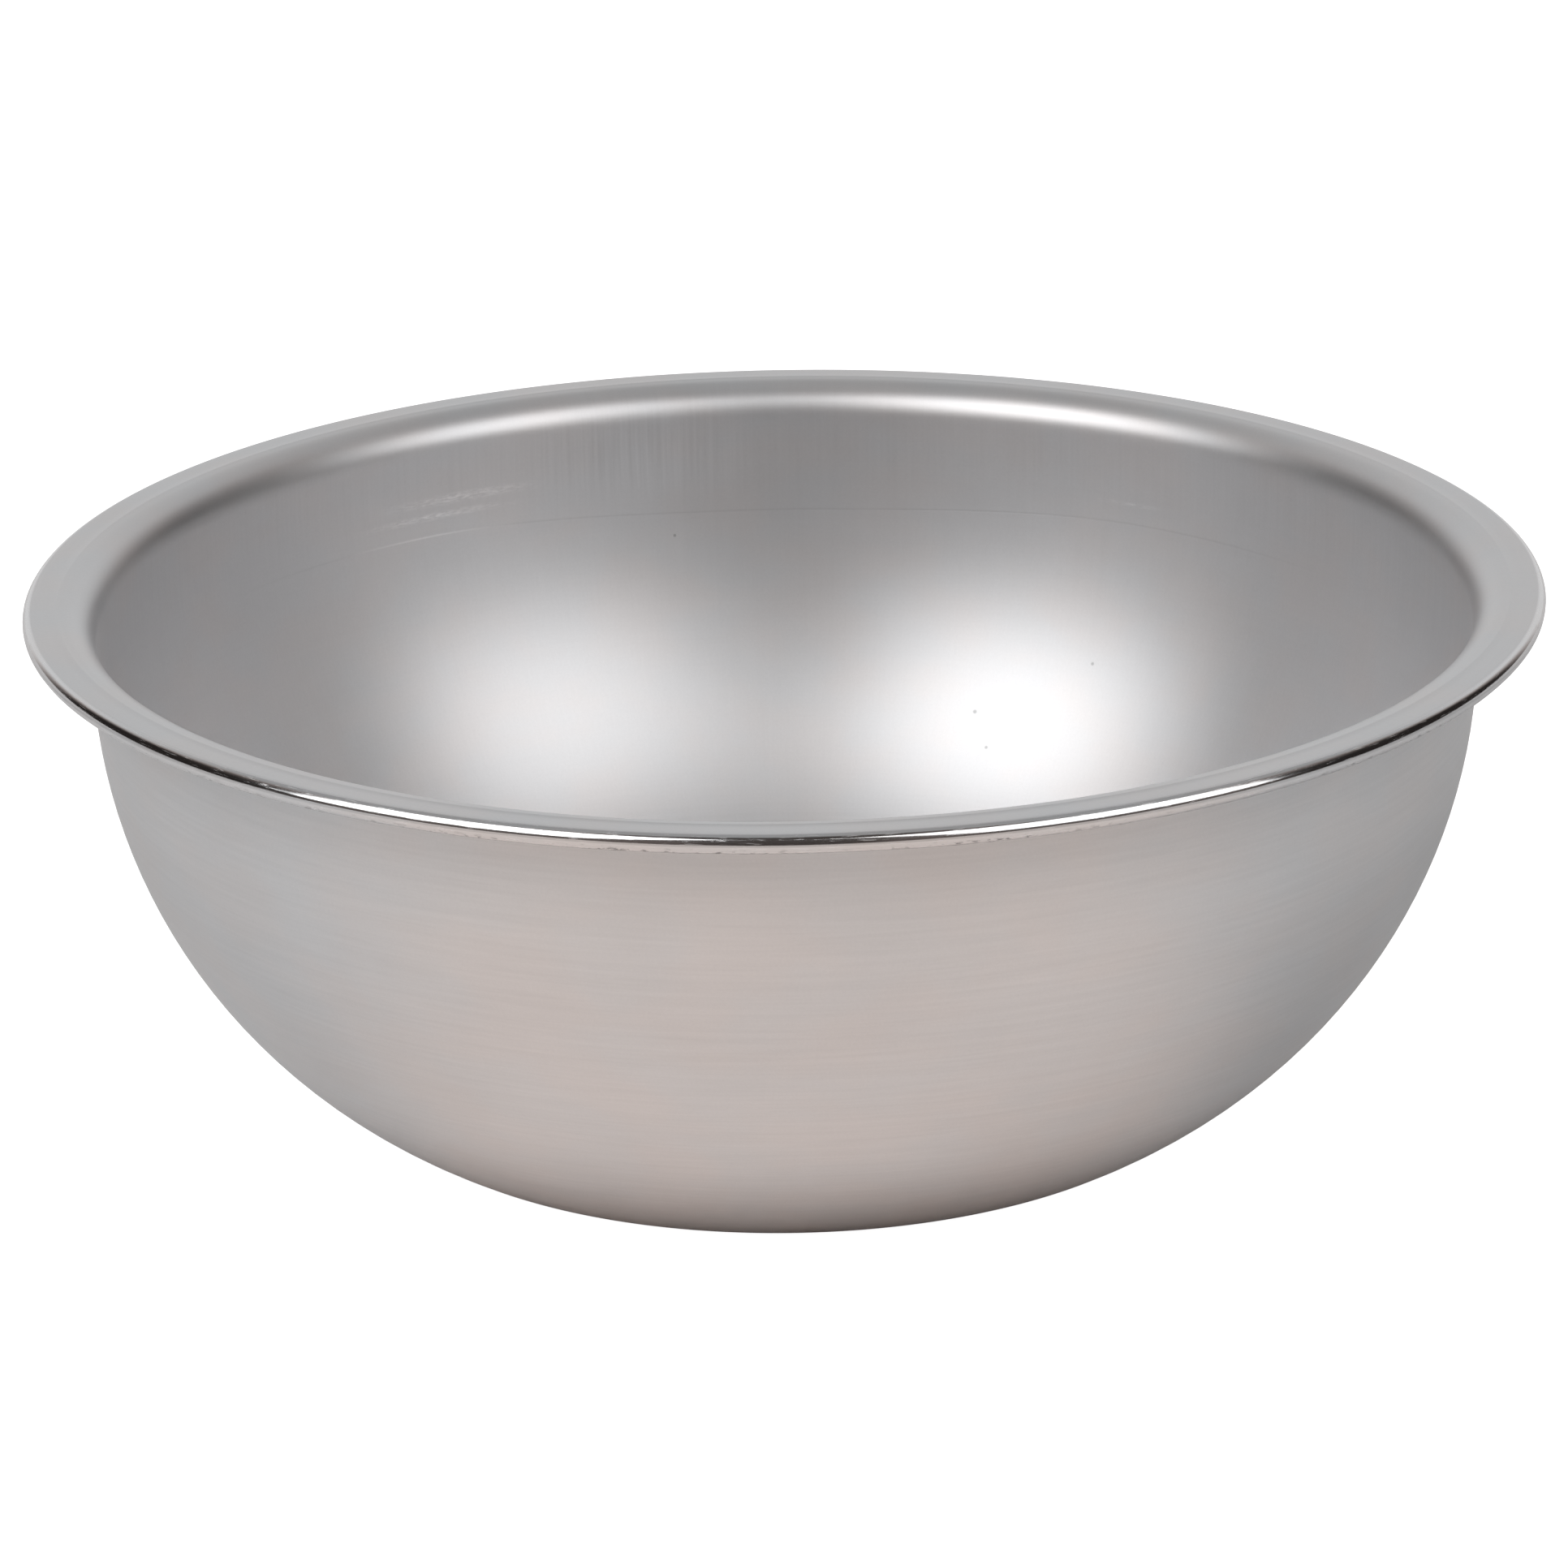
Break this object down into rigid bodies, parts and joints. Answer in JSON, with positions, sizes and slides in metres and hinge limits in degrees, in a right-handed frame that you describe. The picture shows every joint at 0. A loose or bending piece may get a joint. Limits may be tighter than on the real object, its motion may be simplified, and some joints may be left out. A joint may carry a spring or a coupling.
{
  "type": "mixing bowl",
  "caption": "Round stainless steel mixing bowl with a flat base, a deep curved wall and a flat flange whose edge is rolled under into a bead.",
  "frame": {"origin": "centre of the flat base's underside, on the bowl's axis", "axes": "+Z along the bowl's axis, up through its open mouth; X and Y lie in the plane that it rests on and are alike"},
  "size_m": [0.298, 0.298, 0.1055],
  "materials": {
    "satin_steel": "satin stainless steel, spun inside with fine rings around the axis, and polished on the rolled edge"
  },
  "bodies": {
    "root": {"bowl": "satin_steel"}
  },
  "joints": []
}
